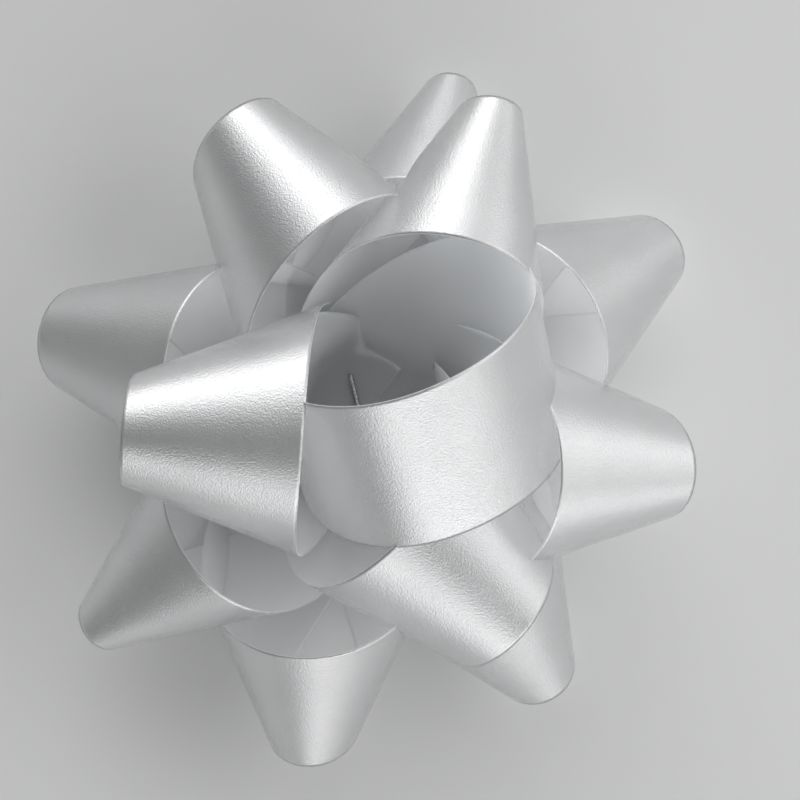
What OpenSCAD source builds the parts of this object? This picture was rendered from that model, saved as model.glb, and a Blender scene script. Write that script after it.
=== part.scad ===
// Pre-made gift bow: a star bow of satin polypropylene ribbon on a card base.
// Twelve loops of ribbon are stacked in tiers and held by one staple, which
// passes through a card disc. A foam pad under the card carries the adhesive,
// and a paper release liner covers it until the bow is used.
// Millimetres, +Z up, origin on the underside of the liner, on the staple axis.

/* [Ribbon] */
// Width of the ribbon
ribbon_w = 19; // [17:0.5:21]
// Thickness of the film
film_t = 0.12; // [0.10:0.01:0.14]
// Height that each loop adds to the stack under the staple
stack_step = 0.3; // [0.28:0.01:0.34]

/* [Base] */
// Diameter of the card disc
card_d = 30; // [26:1:34]
// Thickness of the card disc
card_t = 0.5; // [0.4:0.1:0.8]
// Diameter of the foam adhesive pad
pad_d = 24; // [20:1:26]
// Thickness of the foam adhesive pad
pad_t = 0.9; // [0.8:0.1:1.2]
// Diameter of the paper release liner
liner_d = 27; // [25:1:30]
// Thickness of the paper release liner
liner_t = 0.1; // [0.08:0.01:0.14]

/* [Staple] */
// Length of the staple's crown, outside
staple_w = 9; // [8:0.5:11]
// Diameter of the staple's wire
wire_d = 0.5; // [0.4:0.05:0.6]
// Compass direction of the crown, counted from +X towards +Y
staple_az = 104; // [90:1:120]

/* [Centre ring] */
// Distance of the ring's right wall from its axis
ring_r = 16.8; // [16:0.1:17.2]

/* [Hidden] */

// One row for each loop, lowest in the stack first: compass direction, pitch,
// distance of the tip from the point of the cone, half length of ribbon, roll.
LOOPS = [
    [304, 0, 11.0, 43.8, 3],
    [74, 0, 7.0, 42.5, -2],
    [166.5, 0, 16.0, 43.3, -7],
    [28.5, -2, 11.5, 45.5, -1],
    [263.5, 0, 13.0, 45.6, -16],
    [218.5, 9, 7.5, 43.4, 3],
    [352.5, 8, 16.5, 45.6, -13],
    [118, 5, 18.0, 44.6, -22],
    [68, 14, 8.0, 43.6, -13.5],
    [311, 14, 28.0, 42.5, -17.5],
    [180, 40, 14.5, 46.5, 7],
];
N_LOOPS = len(LOOPS);
TOP = N_LOOPS - 1;

// Mesh of one loop: steps along the ribbon and across it
STEPS_LONG = 52;
STEPS_WIDE = 6;

// Clearances between ribbons, and the zone in which loops flatten to the stack
clear_n = 0.5;
clear_z = 0.3;
flat_r = 6;
free_r = 15;
bend_r = 4;
hinge_r = 3;

// Heights of the base, and of the first ribbon's middle surface
pad_z = liner_t;
card_z = pad_z + pad_t;
stack_z = card_z + card_t + 0.2;
function loop_z(k) = stack_z + stack_step * k;
ply_gap = stack_step / 4;

function clamp01(t) = min(1, max(0, t));
function smooth(a, b, x) = let(t = clamp01((x - a) / (b - a))) t * t * (3 - 2 * t);
function soft_min1(t, k = 0.3) = let(h = max(k - abs(1 - t), 0) / k) min(1, t) - h * h * k / 4;
function turn_z(a, p) = [p[0] * cos(a) - p[1] * sin(a), p[0] * sin(a) + p[1] * cos(a), p[2]];
function pitch_up(a, p) = [p[0] * cos(a) - p[2] * sin(a), p[1], p[0] * sin(a) + p[2] * cos(a)];

// A loop is a strip wrapped round a cone, tip outwards, so that both ends cross
// on the cone's lowest line at the staple. wrap is the turn of the flat strip
// from its middle to the staple, as seen from the point of the cone.
function wrap(k) = atan2(LOOPS[k][3], LOOPS[k][2] + ribbon_w / 2);
function cone_half(k) = asin(wrap(k) / 180);
function point_r(k) = (LOOPS[k][2] + ribbon_w / 2) / cos(wrap(k));

// The loop's cone in the bow: its point and its inward axis
function cone_axis(k) = let(al = cone_half(k), az = LOOPS[k][0], be = LOOPS[k][1], ro = LOOPS[k][4])
    turn_z(az, pitch_up(be, [-cos(al), sin(al) * sin(ro), sin(al) * cos(ro)]));
function cone_point(k) = let(az = LOOPS[k][0], be = LOOPS[k][1])
    turn_z(az, pitch_up(be, [point_r(k) - hinge_r, 0, 0]) + [hinge_r, 0, loop_z(k)]);

CONES = [for (k = [0 : N_LOOPS - 1]) [cone_point(k), cone_axis(k), cone_half(k)]];

// Heights at which a vertical line at x, y meets the cone grown outwards by m:
// the lower one eased past the cone's flanks, and the upper one
function cone_heights(k, x, y, m) =
    let(al = CONES[k][2], a = CONES[k][1], p = CONES[k][0] - a * m / sin(al),
        c2 = cos(al) * cos(al), flat = norm([a[0], a[1]]), ex = a[0] / flat, ey = a[1] / flat,
        qx = x - p[0], qy = y - p[1], u = qx * ex + qy * ey, w = qy * ex - qx * ey,
        lead = c2 - a[2] * a[2], half = a[2] * u * flat,
        disc = max(half * half - lead * u * u * (c2 - flat * flat), 0.000001),
        t = lead * c2 * w * w / disc, root = sqrt(disc) / lead, mid = p[2] + half / lead)
    [u < 0.5 ? 1000 : mid - root * (1 - t / 2 * (1 + t * t / 2)),
     mid + root * sqrt(max(1 - t, 0) + 0.03)];

// How far loop k is pressed down at x, y under a ceiling, 1 being not at all
function press(k, x, y, ceiling) =
    clamp01(soft_min1((ceiling - clear_z - loop_z(k)) / max(cone_heights(k, x, y, 0)[1] - loop_z(k), 0.5)));

// The underside of loop j, and the lowest surface of all that lies over loop k
function loop_low(j, x, y, c) =
    let(z = loop_z(j), az = LOOPS[j][0],
        out = x * cos(az) + y * sin(az), off = abs(y * cos(az) - x * sin(az)))
    z + smooth(flat_r, free_r, norm([x, y])) * (3 * pow(max(0, -5.5 - out), 1.5)
        + press(j, x, y, c) * max(cone_heights(j, x, y, clear_n)[0] - z, 0)
        + 3 * pow(max(0, off - 14.5), 1.5) * smooth(20, 10, out));
function above(k, x, y, j, c) =
    j <= k ? c : above(k, x, y, j - 1, min(c, loop_low(j, x, y, j == TOP ? 1000 : c)));
function ceiling(k, x, y) = above(k, x, y, TOP, k == TOP ? 1000 : ring_under(x, y));

// A point of loop k, at s along the ribbon and v across it from the tip edge
function loop_raw(k, s, v) =
    let(d = LOOPS[k][2], al = cone_half(k), r = norm([s, d + v]), ps = atan2(s, d + v) / sin(al),
        x = r * (cos(al) * cos(al) - sin(al) * sin(al) * cos(ps)),
        zl = r * sin(al) * cos(al) * (1 + cos(ps)), yl = r * sin(al) * sin(ps), ro = LOOPS[k][4],
        y = cos(ro) * yl - sin(ro) * zl, h = sin(ro) * yl + cos(ro) * zl,
        u = point_r(k) - x, be = LOOPS[k][1], start = hinge_r - bend_r * tan(abs(be) / 2),
        sg = be < 0 ? -1 : 1, arc = bend_r * abs(be) * PI / 180,
        th = min(abs(be), max(0, (u - start) / bend_r * 180 / PI)), on = max(0, u - start - arc),
        cx = (u < start ? u : start + bend_r * sin(th)) + on * cos(be),
        cz = sg * bend_r * (1 - cos(th)) + on * sin(be))
    turn_z(LOOPS[k][0], [cx - h * sin(sg * th), -y, cz + h * cos(th)]) + [0, 0, loop_z(k)];

// The same point after the loop has settled under those above it. The top loop
// stands round the ring: only the lower parts of its sides pass under the ring.
function loop_at(k, s, v) =
    let(p = loop_raw(k, s, v), x = p[0], y = p[1], z0 = loop_z(k), len = LOOPS[k][3], rho = norm([x, y]),
        turn = abs(atan2(s, LOOPS[k][2] + v)) / sin(cone_half(k)),
        free = k == TOP ? 1 - smooth(75, 125, turn) : 0,
        under = k == TOP ? smooth(10, 16, rho)
            * clamp01(soft_min1((ring_under(x, y) - clear_z - z0) / max(p[2] - z0, 0.3), 0.2))
            : smooth(flat_r, free_r, rho) * press(k, x, y, ceiling(k, x, y)),
        ply = sign(s) * ply_gap * smooth(0.08 * len, 0.35 * len, abs(s)))
    [x, y, z0 + (free + (1 - free) * under) * (p[2] - z0) + ply];

// The centre ring: its upper part is a leaning hoop, and each end runs down
// from the hoop and crosses the other end flat under the staple.
ring_half = 51;
ring_az = 108;
ring_lean = 27;
ring_left = ring_r - 3.3;
ring_floor = 16;
ring_mid = [6.5, -5.3, 17];
ring_cross = 35;
ring_top_z = loop_z(N_LOOPS);
ring_back = [cos(ring_az), sin(ring_az), 0];
ring_axis = ring_back * cos(ring_lean) + [0, 0, sin(ring_lean)];
ring_side = [-sin(ring_az), cos(ring_az), 0];
ring_up = -cross(ring_side, ring_axis);
function ring_at(s, v) =
    let(side = s < 0 ? -1 : 1, th = 180 * (1 - abs(s) / ring_half), e = v / ribbon_w,
        wide = (side > 0 ? ring_left : ring_r) * sin(th) * side, down = pow(max(cos(th), 0), 2),
        hoop = ring_mid + ring_axis * v
             + (1 + 0.05 * e) * (wide * ring_side - ring_floor * cos(th) * (1 - down * e / 2) * ring_up)
             + (side > 0 ? -2 : 4) * down * e * ring_back + [0, 0, 3.2 * down * (1 - e)],
        a = ring_az + side * ring_cross, n = a - side * 90, l = ring_half - abs(s), c = v - ribbon_w / 2,
        tail = [l * cos(a) + c * cos(n), l * sin(a) + c * sin(n), ring_top_z + side * ply_gap],
        w = smooth(0.72 * ring_half, ring_half, abs(s)), p = (1 - w) * hoop + w * tail,
        flat = abs(s) > 0.6 * ring_half ? smooth(6, 10, norm([p[0], p[1]])) : 1)
    [p[0], p[1], tail[2] + flat * (p[2] - tail[2])];

// The ring's underside: a trough that rises to the back and to both sides
function ring_under(x, y) =
    let(b = [x, y, 0] * ring_back, q = ([x, y, 0] - ring_mid) * ring_side, r = q > 0 ? ring_left : ring_r)
    ring_top_z - 0.35 + 0.35 * max(0, b - 2) + 9.6 * pow(abs(q) / r, 4.4)
        + 3 * (pow(max(0, b - 19.5), 1.5) + pow(max(0, -10 - b), 1.5) + pow(max(0, abs(q) - r - 0.8), 1.5));

// A closed film of even thickness round a grid of points of its middle surface
module film(grid) {
    n = len(grid) - 1;
    m = len(grid[0]) - 1;
    function along(i, j) = grid[min(n, i + 1)][j] - grid[max(0, i - 1)][j];
    function across(i, j) = grid[i][min(m, j + 1)] - grid[i][max(0, j - 1)];
    function offset_at(i, j) = let(c = cross(along(i, j), across(i, j))) c / norm(c) * film_t / 2;
    top = [for (i = [0 : n], j = [0 : m]) grid[i][j] + offset_at(i, j)];
    low = [for (i = [0 : n], j = [0 : m]) grid[i][j] - offset_at(i, j)];
    function at(i, j) = i * (m + 1) + j;
    t = (n + 1) * (m + 1);
    polyhedron(points = concat(top, low), faces = [
        for (i = [0 : n - 1], j = [0 : m - 1]) each [
            [at(i, j), at(i, j + 1), at(i + 1, j + 1)], [at(i, j), at(i + 1, j + 1), at(i + 1, j)],
            [t + at(i, j), t + at(i + 1, j + 1), t + at(i, j + 1)],
            [t + at(i, j), t + at(i + 1, j), t + at(i + 1, j + 1)]],
        for (i = [0 : n - 1]) each [
            [at(i, 0), at(i + 1, 0), t + at(i + 1, 0)], [at(i, 0), t + at(i + 1, 0), t + at(i, 0)],
            [at(i, m), t + at(i + 1, m), at(i + 1, m)], [at(i, m), t + at(i, m), t + at(i + 1, m)]],
        for (j = [0 : m - 1]) each [
            [at(0, j), t + at(0, j + 1), at(0, j + 1)], [at(0, j), t + at(0, j), t + at(0, j + 1)],
            [at(n, j), at(n, j + 1), t + at(n, j + 1)], [at(n, j), t + at(n, j + 1), t + at(n, j)]]
    ]);
}

// Holes that the staple's legs make, in the direction of the crown
leg_x = (staple_w - wire_d) / 2;
crown_z = loop_z(N_LOOPS) + ply_gap + film_t / 2 + wire_d / 2 + 0.15;
module leg_holes(d = wire_d + 0.2) {
    rotate([0, 0, staple_az]) for (x = [-leg_x, leg_x])
        translate([x, 0, -1]) cylinder(d = d, h = 12, $fn = 24);
}

module ribbon_loop(k) {
    reach = LOOPS[k][3] + 1;
    difference() {
        film([for (i = [0 : STEPS_LONG]) let(s = reach * (2 * i / STEPS_LONG - 1))
            [for (j = [0 : STEPS_WIDE]) loop_at(k, s, ribbon_w * j / STEPS_WIDE)]]);
        leg_holes();
    }
}

module bottom_loop_1() color("gainsboro") ribbon_loop(0);
module bottom_loop_2() color("lightgray") ribbon_loop(1);
module bottom_loop_3() color("silver") ribbon_loop(2);
module bottom_loop_4() color("lightsteelblue") ribbon_loop(3);
module bottom_loop_5() color("gainsboro") ribbon_loop(4);
module middle_loop_1() color("aliceblue") ribbon_loop(5);
module middle_loop_2() color("lightgray") ribbon_loop(6);
module middle_loop_3() color("gainsboro") ribbon_loop(7);
module top_loop_1() color("lightsteelblue") ribbon_loop(8);
module top_loop_2() color("silver") ribbon_loop(9);
module top_loop_3() color("aliceblue") ribbon_loop(10);

module centre_ring() color("white") difference() {
    reach = ring_half + 1;
    film([for (i = [0 : STEPS_LONG]) let(s = reach * (2 * i / STEPS_LONG - 1))
        [for (j = [0 : STEPS_WIDE]) ring_at(s, ribbon_w * j / STEPS_WIDE)]]);
    leg_holes();
}

// The staple: crown on top of the stack, legs through it, points bent inwards
// flat under the card, in the pocket of the foam pad
clinch_z = card_z - wire_d / 2 - 0.02;
clinch_l = 3;
module staple() color("dimgray") rotate([0, 0, staple_az]) union() {
    translate([-leg_x, 0, crown_z]) rotate([0, 90, 0]) cylinder(d = wire_d, h = 2 * leg_x, $fn = 24);
    for (m = [0, 1]) mirror([m, 0, 0]) {
        translate([leg_x, 0, clinch_z]) cylinder(d = wire_d, h = crown_z - clinch_z, $fn = 24);
        translate([leg_x, 0, crown_z]) sphere(d = wire_d, $fn = 24);
        translate([leg_x, 0, clinch_z]) sphere(d = wire_d, $fn = 24);
        translate([leg_x, 0, clinch_z]) rotate([0, -90, 0]) cylinder(d = wire_d, h = clinch_l, $fn = 24);
    }
}

module card_disc() color("white") difference() {
    translate([0, 0, card_z]) cylinder(d = card_d, h = card_t, $fn = 96);
    leg_holes();
}

module adhesive_pad() color("ivory") difference() {
    translate([0, 0, pad_z]) cylinder(d = pad_d, h = pad_t, $fn = 96);
    rotate([0, 0, staple_az]) translate([-leg_x - 1, -1, card_z - wire_d - 0.2])
        cube([2 * leg_x + 2, 2, wire_d + 1]);
}

// The liner has a tab that stands out past the pad, for lifting it
tab_w = 9;
tab_l = 6;
module release_liner() color("lightyellow") linear_extrude(liner_t) union() {
    circle(d = liner_d, $fn = 96);
    translate([-tab_w / 2, -liner_d / 2 - tab_l + tab_w / 2]) square([tab_w, tab_l]);
    translate([0, -liner_d / 2 - tab_l + tab_w / 2]) circle(d = tab_w, $fn = 48);
}

bottom_loop_1();
bottom_loop_2();
bottom_loop_3();
bottom_loop_4();
bottom_loop_5();
middle_loop_1();
middle_loop_2();
middle_loop_3();
top_loop_1();
top_loop_2();
top_loop_3();
centre_ring();
staple();
card_disc();
adhesive_pad();
release_liner();
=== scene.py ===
"""Pre-made star bow of pearl silver ribbon: high-resolution ribbon film, staple, card, foam pad and liner."""
import math

import bpy
import numpy as np
from mathutils import Matrix, Vector


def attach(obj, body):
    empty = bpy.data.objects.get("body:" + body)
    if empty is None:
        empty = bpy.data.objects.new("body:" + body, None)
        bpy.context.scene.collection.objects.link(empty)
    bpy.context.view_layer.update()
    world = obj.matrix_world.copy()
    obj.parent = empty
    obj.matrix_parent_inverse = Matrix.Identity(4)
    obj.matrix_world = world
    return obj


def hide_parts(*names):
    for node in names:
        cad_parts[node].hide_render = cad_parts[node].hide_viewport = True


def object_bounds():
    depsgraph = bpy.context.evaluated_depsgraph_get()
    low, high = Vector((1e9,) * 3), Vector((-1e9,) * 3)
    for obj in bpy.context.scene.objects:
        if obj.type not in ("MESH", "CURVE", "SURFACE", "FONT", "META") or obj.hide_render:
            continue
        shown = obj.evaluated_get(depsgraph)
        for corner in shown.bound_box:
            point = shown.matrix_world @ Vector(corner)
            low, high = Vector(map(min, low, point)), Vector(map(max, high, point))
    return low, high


MM = 0.001
TINY = 1e-6

# ---------------------------------------------------------------- the bow's driving sizes, in millimetres
RIBBON_W = 19.0
FILM_T = 0.11
STACK_Z = 1.7
STACK_STEP = 0.3
PLY_GAP = STACK_STEP / 4
# One row a loop, lowest first: node, compass direction, pitch, tip distance, half length of ribbon, roll
LOOPS = [
    ("bottom_loop_1", 304, 0, 11.0, 43.8, 3),
    ("bottom_loop_2", 74, 0, 7.0, 42.5, -2),
    ("bottom_loop_3", 166.5, 0, 16.0, 43.3, -7),
    ("bottom_loop_4", 28.5, -2, 11.5, 45.5, -1),
    ("bottom_loop_5", 263.5, 0, 13.0, 45.6, -16),
    ("middle_loop_1", 218.5, 9, 7.5, 43.4, 3),
    ("middle_loop_2", 352.5, 8, 16.5, 45.6, -13),
    ("middle_loop_3", 118, 5, 18.0, 44.6, -22),
    ("top_loop_1", 68, 14, 8.0, 43.6, -13.5),
    ("top_loop_2", 311, 11, 28.0, 42.5, -17.5),
    ("top_loop_3", 180, 40, 14.5, 46.0, 7),
]
TOP = len(LOOPS) - 1
# The loops whose mouths the ring presses down from inside
UNDER_RING = ("top_loop_1",)
FLAT_R, FREE_R = 6.0, 15.0
CLEAR_N, CLEAR_Z = 0.5, 0.3
HINGE_R, BEND_R = 3.0, 4.0
# Past these distances behind the staple and to the side, a loop's underside is taken to rise steeply
LOOP_BACK, LOOP_SIDE = 5.5, 14.5
FAR_UP = 1000.0
RING_HALF = 51.0
RING_R, RING_LEFT, RING_FLOOR = 16.8, 13.5, 16.0
RING_AZ, RING_LEAN, RING_CROSS = math.radians(108), math.radians(27), math.radians(35)
RING_MID = np.array([6.5, -5.3, 17.0])
RING_TOP_Z = STACK_Z + STACK_STEP * len(LOOPS)
RING_BACK = np.array([math.cos(RING_AZ), math.sin(RING_AZ), 0.0])
RING_AXIS = RING_BACK * math.cos(RING_LEAN) + np.array([0, 0, math.sin(RING_LEAN)])
RING_SIDE = np.array([-math.sin(RING_AZ), math.cos(RING_AZ), 0.0])
RING_UP = -np.cross(RING_SIDE, RING_AXIS)

# Ribbon past the staple at each end of a loop
TAIL = 1
# Mesh of one ribbon: points along it and across it
STEPS_LONG, STEPS_WIDE = 300, 48


# ---------------------------------------------------------------- shapes of the ribbon
def smooth(a, b, x):
    t = np.clip((x - a) / (b - a), 0, 1)
    return t * t * (3 - 2 * t)


def soft_min1(t, k=0.3):
    h = np.maximum(k - np.abs(1 - t), 0) / k
    return np.minimum(1, t) - h * h * k / 4


class Loop:
    """A strip of ribbon wrapped round a cone, tip outwards, with both its ends crossing at the staple."""

    def __init__(self, k):
        self.k = k
        self.node, az, pitch, self.tip, self.half, roll = LOOPS[k]
        self.az, self.pitch, self.roll = math.radians(az), math.radians(pitch), math.radians(roll)
        wrap = math.atan2(self.half, self.tip + RIBBON_W / 2)
        self.sin_a = wrap / math.pi
        self.alpha = math.asin(self.sin_a)
        self.point_r = (self.tip + RIBBON_W / 2) / math.cos(wrap)
        self.z = STACK_Z + STACK_STEP * k
        turn = Matrix.Rotation(self.az, 3, "Z") @ Matrix.Rotation(-self.pitch, 3, "Y")
        side, rise = self.sin_a * math.sin(self.roll), self.sin_a * math.cos(self.roll)
        axis = Vector((-math.cos(self.alpha), side, rise))
        self.axis = np.array(turn @ axis)
        hinge = Matrix.Rotation(self.az, 3, "Z") @ Vector((HINGE_R, 0, self.z))
        self.point = np.array(turn @ Vector((self.point_r - HINGE_R, 0, 0))) + np.array(hinge)

    def heights(self, x, y, grow=0.0):
        """Heights at which the vertical at x, y meets the cone grown by grow: the lower one eased past the
        cone's flanks, and the upper one."""
        a, c2 = self.axis, math.cos(self.alpha) ** 2
        p = self.point - a * grow / self.sin_a
        flat = math.hypot(a[0], a[1])
        u = ((x - p[0]) * a[0] + (y - p[1]) * a[1]) / flat
        w = ((y - p[1]) * a[0] - (x - p[0]) * a[1]) / flat
        lead = c2 - a[2] ** 2
        half = a[2] * u * flat
        disc = np.maximum(half ** 2 - lead * u * u * (c2 - flat ** 2), TINY)
        t = lead * c2 * w * w / disc
        root, mid = np.sqrt(disc) / lead, p[2] + half / lead
        low = np.where(u < 0.5, FAR_UP, mid - root * (1 - t / 2 * (1 + t * t / 2)))
        return low, mid + root * np.sqrt(np.maximum(1 - t, 0) + 0.03)

    def press(self, x, y, ceiling):
        """How far the loop is pressed down under a ceiling, 1 being not at all."""
        top = self.heights(x, y)[1]
        return np.clip(soft_min1((ceiling - CLEAR_Z - self.z) / np.maximum(top - self.z, 0.5)), 0, 1)

    def lowest(self, x, y, ceiling):
        """The loop's underside."""
        out = x * math.cos(self.az) + y * math.sin(self.az)
        off = np.abs(y * math.cos(self.az) - x * math.sin(self.az))
        rise = self.press(x, y, ceiling) * np.maximum(self.heights(x, y, CLEAR_N)[0] - self.z, 0)
        rise += 3 * np.maximum(0, -LOOP_BACK - out) ** 1.5
        rise += 3 * np.maximum(0, off - LOOP_SIDE) ** 1.5 * smooth(20, 10, out)
        return self.z + smooth(FLAT_R, FREE_R, np.hypot(x, y)) * rise

    def raw(self, s, v):
        """The undisturbed cone: points at s along the ribbon and v across it, and the turn round the cone."""
        al, ro = self.alpha, self.roll
        r = np.hypot(s, self.tip + v)
        turn = np.arctan2(s, self.tip + v) / self.sin_a
        x = r * (math.cos(al) ** 2 - math.sin(al) ** 2 * np.cos(turn))
        zl = r * math.sin(al) * math.cos(al) * (1 + np.cos(turn))
        yl = r * math.sin(al) * np.sin(turn)
        y = math.cos(ro) * yl - math.sin(ro) * zl
        h = math.sin(ro) * yl + math.cos(ro) * zl
        u, b = self.point_r - x, abs(self.pitch)
        sign = -1 if self.pitch < 0 else 1
        start = HINGE_R - BEND_R * math.tan(b / 2)
        bend = np.clip((u - start) / BEND_R, 0, b)
        on = np.maximum(u - start - BEND_R * b, 0)
        cx = np.where(u < start, u, start + BEND_R * np.sin(bend)) + on * math.cos(b)
        cz = sign * BEND_R * (1 - np.cos(bend)) + on * math.sin(self.pitch)
        px = cx - h * np.sin(sign * bend)
        pz = cz + h * np.cos(bend)
        ca, sa = math.cos(self.az), math.sin(self.az)
        return px * ca + y * sa, px * sa - y * ca, pz + self.z, turn


ALL_LOOPS = [Loop(k) for k in range(len(LOOPS))]


def ring_under(x, y):
    """The ring's underside: a trough that rises to the back and to both sides, and steeply past the
    hoop's edges."""
    b = x * RING_BACK[0] + y * RING_BACK[1]
    q = (x - RING_MID[0]) * RING_SIDE[0] + (y - RING_MID[1]) * RING_SIDE[1]
    r = np.where(q > 0, RING_LEFT, RING_R)
    flank = np.minimum(np.abs(q) / r, 1.0)
    deep = np.sqrt(1 - flank ** 2)
    back, front = 11.6 + 7.3 * deep + 3.5 * deep ** 2, 7.3 * deep - 10
    past = np.maximum(0, b - back) + np.maximum(0, front - b) + np.maximum(0, np.abs(q) - r - 1.4)
    return RING_TOP_Z - 0.35 + 0.35 * np.maximum(0, b - 2) + 9.6 * flank ** 4.4 + 5 * past ** 1.5


def outside_ring(x, y):
    """0 well inside the hoop's footprint and 1 outside it."""
    b = x * RING_BACK[0] + y * RING_BACK[1]
    q = (x - RING_MID[0]) * RING_SIDE[0] + (y - RING_MID[1]) * RING_SIDE[1]
    r = np.where(q > 0, RING_LEFT, RING_R)
    deep = np.sqrt(1 - np.minimum(np.abs(q) / r, 1.0) ** 2)
    return smooth(-7.5, -4.0, np.maximum(np.abs(q) - r, b - (9 + 7.3 * deep + 3.5 * deep ** 2)))


def ceiling(k, x, y):
    """The lowest surface of all that lies over loop k."""
    open_sky = np.full(np.shape(x), FAR_UP)
    c = open_sky if k == TOP else ring_under(x, y)
    for j in range(TOP, k, -1):
        c = np.minimum(c, ALL_LOOPS[j].lowest(x, y, open_sky if j == TOP else c))
    return c


def blur(field, along, across):
    """Evens out a field on the ribbon's grid, so that a pressed ribbon bends in soft curves."""
    for axis, sigma in ((0, along), (1, across)):
        reach = int(3 * sigma)
        kernel = np.exp(-0.5 * (np.arange(-reach, reach + 1) / sigma) ** 2)
        kernel /= kernel.sum()
        pad = [(0, 0), (0, 0)]
        pad[axis] = (reach, reach)
        wide = np.pad(field, pad, mode="edge")
        field = np.apply_along_axis(lambda m: np.convolve(m, kernel, mode="valid"), axis, wide)
    return field


def ribbon_grid(half):
    s = np.linspace(-half - TAIL, half + TAIL, STEPS_LONG + 1)
    v = np.linspace(0, RIBBON_W, STEPS_WIDE + 1)
    return np.meshgrid(s, v, indexing="ij")


def loop_surface(loop):
    """The settled loop: its top stays a true cone, and the lower parts of its sides lie flat near the
    staple. The top loop stands round the ring, so more of it settles."""
    s, v = ribbon_grid(loop.half)
    x, y, z, turn = loop.raw(s, v)
    flat_r, free_r, full, low_turn = (10, 16, 75, 125) if loop.k == TOP else (FLAT_R, FREE_R, 90, 140)
    free = 1 - smooth(full, low_turn, np.degrees(np.abs(turn)))
    if loop.node in UNDER_RING:
        free = free * outside_ring(x, y)
    over = ring_under(x, y) if loop.k == TOP else ceiling(loop.k, x, y)
    room = (over - CLEAR_Z - loop.z) / np.maximum(z - loop.z, 0.3)
    lift = free + (1 - free) * smooth(flat_r, free_r, np.hypot(x, y)) * np.clip(soft_min1(room, 0.2), 0, 1)
    lift = blur(lift, 6, 5)
    ply = np.sign(s) * PLY_GAP * smooth(0.08 * loop.half, 0.35 * loop.half, np.abs(s))
    return np.stack([x, y, loop.z + lift * (z - loop.z) + ply], -1)


def ring_surface():
    s, v = ribbon_grid(RING_HALF)
    side = np.where(s < 0, -1.0, 1.0)
    across = v / RIBBON_W
    theta = math.pi * (1 - np.abs(s) / RING_HALF)
    wide = np.where(side > 0, RING_LEFT, RING_R) * np.sin(theta) * side
    down = np.maximum(np.cos(theta), 0) ** 2
    tall = -RING_FLOOR * np.cos(theta) * (1 - down * across / 2)
    hoop = RING_MID + v[..., None] * RING_AXIS
    hoop = hoop + (1 + 0.05 * across)[..., None] * (wide[..., None] * RING_SIDE + tall[..., None] * RING_UP)
    hoop = hoop + (np.where(side > 0, -2.0, 4.0) * down * across)[..., None] * RING_BACK
    hoop[..., 2] += 3.2 * down * (1 - across)
    a = RING_AZ + side * RING_CROSS
    n = a - side * math.pi / 2
    run, c = RING_HALF - np.abs(s), v - RIBBON_W / 2
    tail = np.stack([run * np.cos(a) + c * np.cos(n), run * np.sin(a) + c * np.sin(n),
                     RING_TOP_Z + side * PLY_GAP], -1)
    w = smooth(0.72 * RING_HALF, RING_HALF, np.abs(s))[..., None]
    surface = (1 - w) * hoop + w * tail
    low = tail[..., 2]
    flat = np.where(np.abs(s) > 0.6 * RING_HALF, smooth(6, 10, np.hypot(surface[..., 0], surface[..., 1])), 1)
    surface[..., 2] = low + flat * (surface[..., 2] - low)
    return surface


# ---------------------------------------------------------------- meshes
def film(name, grid, outer, inner):
    """A closed film round a grid of points of its middle surface: satin face outwards, matt face inwards."""
    n, m = grid.shape[0] - 1, grid.shape[1] - 1
    normal = np.cross(np.gradient(grid, axis=0), np.gradient(grid, axis=1))
    normal /= np.maximum(np.linalg.norm(normal, axis=-1, keepdims=True), TINY)
    half = FILM_T / 2
    faces_of_film = [(grid + normal * half).reshape(-1, 3), (grid - normal * half).reshape(-1, 3)]
    points = np.concatenate(faces_of_film) * MM
    at = np.arange((n + 1) * (m + 1)).reshape(n + 1, m + 1)
    low = at + at.size
    a, b, c, d = at[:-1, :-1], at[:-1, 1:], at[1:, 1:], at[1:, :-1]
    top = np.stack([a, d, c, b], -1).reshape(-1, 4)
    under = np.stack([low[:-1, :-1], low[:-1, 1:], low[1:, 1:], low[1:, :-1]], -1).reshape(-1, 4)
    rim = []
    for e, f, flip in ((at[:, 0], low[:, 0], 0), (at[:, -1], low[:, -1], 1),
                       (at[0, :], low[0, :], 1), (at[-1, :], low[-1, :], 0)):
        quad = np.stack([e[:-1], f[:-1], f[1:], e[1:]], -1)
        rim.append(quad[:, ::-1] if flip else quad)
    rim = np.concatenate(rim)
    faces = np.concatenate([top, under, rim])
    mesh = bpy.data.meshes.new(name)
    mesh.from_pydata(points.tolist(), [], faces.tolist())
    mesh.materials.append(inner)
    mesh.materials.append(outer)
    slots = np.zeros(len(faces), np.int32)
    slots[len(top):len(top) + len(under)] = 1
    mesh.polygons.foreach_set("material_index", slots)
    shade = np.ones(len(faces), bool)
    shade[len(top) + len(under):] = False
    mesh.polygons.foreach_set("use_smooth", shade)
    mesh.update()
    obj = bpy.data.objects.new(name, mesh)
    bpy.context.scene.collection.objects.link(obj)
    return obj


# ---------------------------------------------------------------- materials
def new_material(name, **values):
    mat = bpy.data.materials.new(name)
    mat.use_nodes = True
    bsdf = mat.node_tree.nodes["Principled BSDF"]
    for key, value in values.items():
        bsdf.inputs[key.replace("_", " ")].default_value = value
    return mat, mat.node_tree.nodes, mat.node_tree.links, bsdf


def noise(nodes, links, coord, scale, detail=2.0, rough=0.5, stretch=None):
    """A noise in object space whose scale is in cycles a millimetre."""
    tex = nodes.new("ShaderNodeTexNoise")
    tex.inputs["Scale"].default_value = scale / MM
    tex.inputs["Detail"].default_value = detail
    tex.inputs["Roughness"].default_value = rough
    if stretch:
        mapping = nodes.new("ShaderNodeMapping")
        mapping.inputs["Scale"].default_value = stretch
        links.new(coord, mapping.inputs["Vector"])
        coord = mapping.outputs["Vector"]
    links.new(coord, tex.inputs["Vector"])
    return tex.outputs["Fac"]


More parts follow.
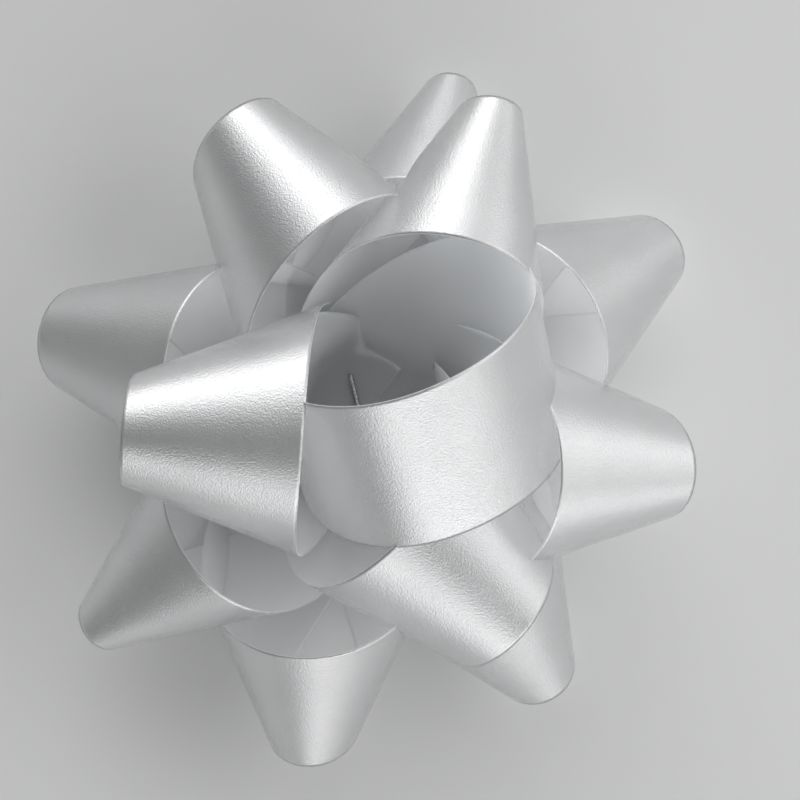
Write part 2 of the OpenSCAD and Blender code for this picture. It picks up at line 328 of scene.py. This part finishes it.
def math_node(nodes, links, operation, a, *rest):
    node = nodes.new("ShaderNodeMath")
    node.operation = operation
    links.new(a, node.inputs[0])
    for place, value in enumerate(rest, 1):
        if isinstance(value, float):
            node.inputs[place].default_value = value
        else:
            links.new(value, node.inputs[place])
    return node.outputs["Value"]


def ramp(nodes, links, fac, low, high, a=0.3, b=0.7):
    node = nodes.new("ShaderNodeValToRGB")
    node.color_ramp.elements[0].position, node.color_ramp.elements[0].color = a, low
    node.color_ramp.elements[1].position, node.color_ramp.elements[1].color = b, high
    links.new(fac, node.inputs["Fac"])
    return node.outputs["Color"]


def bump(nodes, links, height, strength, distance, normal=None):
    node = nodes.new("ShaderNodeBump")
    node.inputs["Strength"].default_value = strength
    node.inputs["Distance"].default_value = distance * MM
    links.new(height, node.inputs["Height"])
    if normal is not None:
        links.new(normal, node.inputs["Normal"])
    return node.outputs["Normal"]


def grey(v, tint=0.0):
    return (v - tint, v, v + tint, 1)


def film_grain(nodes, links, coord, strength):
    """The embossed grain that both faces of the film carry: cells of about 0.2 mm with finer ones between."""
    cells = noise(nodes, links, coord, 5.0, 1, 0.5)
    fine = noise(nodes, links, coord, 11.0, 1, 0.5)
    first = bump(nodes, links, cells, strength, 0.085)
    return bump(nodes, links, fine, strength, 0.04, first)


def let_through(nodes, links, bsdf, share, all_inside=False):
    """Mixes in the share of the light that the thin film lets through. With all_inside, light that meets
    this face from inside the film passes whole."""
    through = nodes.new("ShaderNodeBsdfTranslucent")
    through.inputs["Color"].default_value = (0.97, 0.975, 0.98, 1)
    mix = nodes.new("ShaderNodeMixShader")
    mix.inputs[0].default_value = share
    if all_inside:
        inside = nodes.new("ShaderNodeNewGeometry").outputs["Backfacing"]
        links.new(math_node(nodes, links, "MAXIMUM", inside, share), mix.inputs[0])
    links.new(bsdf.outputs["BSDF"], mix.inputs[1])
    links.new(through.outputs["BSDF"], mix.inputs[2])
    links.new(mix.outputs["Shader"], nodes["Material Output"].inputs["Surface"])


def satin_material():
    mat, nodes, links, bsdf = new_material("satin_face", Metallic=0.88, Roughness=0.24)
    let_through(nodes, links, bsdf, 0.16, all_inside=True)
    coord = nodes.new("ShaderNodeTexCoord").outputs["Object"]
    cloud = noise(nodes, links, coord, 0.12, 3)
    links.new(ramp(nodes, links, cloud, grey(0.69, 0.004), grey(0.75, 0.004)), bsdf.inputs["Base Color"])
    wear = noise(nodes, links, coord, 0.5, 4, 0.6)
    links.new(ramp(nodes, links, wear, grey(0.21), grey(0.27)), bsdf.inputs["Roughness"])
    links.new(film_grain(nodes, links, coord, 0.5), bsdf.inputs["Normal"])
    return mat


def matt_material():
    mat, nodes, links, bsdf = new_material("matt_back", Roughness=0.45)
    let_through(nodes, links, bsdf, 0.7)
    coord = nodes.new("ShaderNodeTexCoord").outputs["Object"]
    cloud = noise(nodes, links, coord, 0.15, 3)
    links.new(ramp(nodes, links, cloud, grey(0.95, 0.002), grey(0.98, 0.002)), bsdf.inputs["Base Color"])
    links.new(film_grain(nodes, links, coord, 0.12), bsdf.inputs["Normal"])
    return mat


def steel_material():
    mat, nodes, links, bsdf = new_material("drawn_steel", Metallic=1.0)
    coord = nodes.new("ShaderNodeTexCoord").outputs["Object"]
    streak = noise(nodes, links, coord, 3.0, 3, 0.6, (1, 1, 0.1))
    links.new(ramp(nodes, links, streak, grey(0.36, 0.01), grey(0.58, 0.01)), bsdf.inputs["Base Color"])
    links.new(ramp(nodes, links, streak, grey(0.22), grey(0.42)), bsdf.inputs["Roughness"])
    links.new(bump(nodes, links, streak, 0.3, 0.01), bsdf.inputs["Normal"])
    return mat


def card_material():
    mat, nodes, links, bsdf = new_material("card", Roughness=0.85)
    coord = nodes.new("ShaderNodeTexCoord").outputs["Object"]
    fibre = noise(nodes, links, coord, 1.2, 5, 0.7, (1, 3, 1))
    tone = ramp(nodes, links, fibre, (0.80, 0.79, 0.75, 1), (0.90, 0.90, 0.87, 1))
    links.new(tone, bsdf.inputs["Base Color"])
    links.new(bump(nodes, links, fibre, 0.4, 0.03), bsdf.inputs["Normal"])
    return mat


def foam_material():
    mat, nodes, links, bsdf = new_material("foam", Roughness=0.6)
    coord = nodes.new("ShaderNodeTexCoord").outputs["Object"]
    cells = nodes.new("ShaderNodeTexVoronoi")
    cells.inputs["Scale"].default_value = 3.5 / MM
    links.new(coord, cells.inputs["Vector"])
    cell = cells.outputs["Distance"]
    tone = ramp(nodes, links, cell, (0.78, 0.76, 0.68, 1), (0.92, 0.91, 0.86, 1), 0, 0.4)
    links.new(tone, bsdf.inputs["Base Color"])
    links.new(bump(nodes, links, cell, 0.6, 0.06), bsdf.inputs["Normal"])
    return mat


def liner_material():
    mat, nodes, links, bsdf = new_material("liner_paper", Roughness=0.38)
    coord = nodes.new("ShaderNodeTexCoord").outputs["Object"]
    fibre = noise(nodes, links, coord, 0.8, 6, 0.65)
    tone = ramp(nodes, links, fibre, (0.84, 0.81, 0.70, 1), (0.92, 0.90, 0.81, 1))
    links.new(tone, bsdf.inputs["Base Color"])
    links.new(ramp(nodes, links, fibre, grey(0.34), grey(0.5)), bsdf.inputs["Roughness"])
    links.new(bump(nodes, links, fibre, 0.2, 0.02), bsdf.inputs["Normal"])
    return mat


def floor_material():
    mat, nodes, links, bsdf = new_material("floor", Roughness=0.7)
    coord = nodes.new("ShaderNodeTexCoord").outputs["Object"]
    cloud = noise(nodes, links, coord, 0.01, 3)
    links.new(ramp(nodes, links, cloud, grey(0.85, 0.002), grey(0.89, 0.002)), bsdf.inputs["Base Color"])
    return mat


# ---------------------------------------------------------------- the object
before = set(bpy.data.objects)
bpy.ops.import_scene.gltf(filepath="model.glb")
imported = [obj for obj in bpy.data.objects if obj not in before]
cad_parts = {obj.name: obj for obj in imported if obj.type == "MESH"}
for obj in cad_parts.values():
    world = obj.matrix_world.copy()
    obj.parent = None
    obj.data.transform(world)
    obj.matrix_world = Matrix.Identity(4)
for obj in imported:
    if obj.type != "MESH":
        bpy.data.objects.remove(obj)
cad_box = [list(p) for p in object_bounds()]

satin = satin_material()
matt = matt_material()


def ribbon_piece(node, grid):
    piece = film(node + "_film", grid, satin, matt)
    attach(piece, "bow")
    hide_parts(node)


for ribbon_loop in ALL_LOOPS:
    ribbon_piece(ribbon_loop.node, loop_surface(ribbon_loop))
ribbon_piece("centre_ring", ring_surface())

KEPT_NODES = (("staple", steel_material, "staple_wire"), ("card_disc", card_material, "card"),
              ("adhesive_pad", foam_material, "foam"), ("release_liner", liner_material, "liner_paper"))
for cad_node, make, slot_name in KEPT_NODES:
    cad_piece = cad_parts[cad_node]
    cad_piece.data.materials.clear()
    cad_piece.data.materials.append(make())

# ---------------------------------------------------------------- floor, light and camera
FLOOR_SIZE = 8.0
FLOOR_GAP = 0.0001
bpy.ops.mesh.primitive_plane_add(size=FLOOR_SIZE, location=(0, 0, cad_box[0][2] - FLOOR_GAP))
floor = bpy.context.object
floor.name = "floor"
floor.data.materials.append(floor_material())


def unit(azimuth, elevation):
    a, e = math.radians(azimuth), math.radians(elevation)
    return Vector((math.cos(a) * math.cos(e), math.sin(a) * math.cos(e), math.sin(e)))


# The soft lights round the bow: compass direction, elevation and spread in degrees, and brightness. The sky
# overhead and the left side of the room stay dim.
LIGHTS = ((92, 32, 17, 0.95), (290, 18, 13, 0.8), (262, 36, 10, 0.65), (270, 2, 10, 0.9), (30, 20, 20, 0.5),
          (316, 4, 16, 0.9), (97, 3, 16, 1.0))
SKY = 0.11
STUDIO_STRENGTH = 1.75


def studio():
    """A dim sky and the soft lights."""
    world = bpy.data.worlds.new("studio")
    bpy.context.scene.world = world
    world.use_nodes = True
    nodes, links = world.node_tree.nodes, world.node_tree.links
    direction = nodes.new("ShaderNodeTexCoord").outputs["Generated"]
    total = None
    for azimuth, elevation, spread, brightness in LIGHTS:
        dot = nodes.new("ShaderNodeVectorMath")
        dot.operation = "DOT_PRODUCT"
        dot.inputs[1].default_value = unit(azimuth, elevation)
        links.new(direction, dot.inputs[0])
        sharp = 1 / math.radians(spread) ** 2
        fall = math_node(nodes, links, "MULTIPLY_ADD", dot.outputs["Value"], sharp, -sharp)
        light = math_node(nodes, links, "EXPONENT", fall)
        if total is None:
            total = math_node(nodes, links, "MULTIPLY_ADD", light, brightness, SKY)
        else:
            total = math_node(nodes, links, "MULTIPLY_ADD", light, brightness, total)
    back = nodes["Background"]
    links.new(total, back.inputs["Color"])
    back.inputs["Strength"].default_value = STUDIO_STRENGTH


studio()

# A large soft box on the right, which makes the floor fall off to the left
SOFT_BOX = Vector((0.45, 0.05, 0.30))
SOFT_BOX_SIZE, SOFT_BOX_WATTS = 0.5, 0.55
box_light = bpy.data.lights.new("soft_box", "AREA")
box_light.size = SOFT_BOX_SIZE
box_light.energy = SOFT_BOX_WATTS
soft_box = bpy.data.objects.new("soft_box", box_light)
soft_box.location = SOFT_BOX
soft_box.rotation_euler = SOFT_BOX.to_track_quat("Z", "Y").to_euler()
bpy.context.scene.collection.objects.link(soft_box)

TARGET = Vector((4.5, 1.5, 10)) * MM
TILT = Vector((math.tan(math.radians(-3)), math.tan(math.radians(3)), 1)).normalized()
CAMERA_DISTANCE = 0.3
FOCAL_PX = 2610
FRAME_PX = 800
SENSOR = 36
camera_data = bpy.data.cameras.new("camera")
camera_data.lens = FOCAL_PX / FRAME_PX * SENSOR
camera_data.sensor_width = SENSOR
camera_data.clip_start = 0.01
camera = bpy.data.objects.new("camera", camera_data)
right = Vector((0, 1, 0)).cross(TILT).normalized()
above = TILT.cross(right)
turn = Matrix((right, above, TILT)).transposed().to_4x4()
camera.matrix_world = Matrix.Translation(TARGET + TILT * CAMERA_DISTANCE) @ turn
bpy.context.scene.collection.objects.link(camera)
bpy.context.scene.camera = camera
bpy.context.scene.view_settings.view_transform = "Standard"
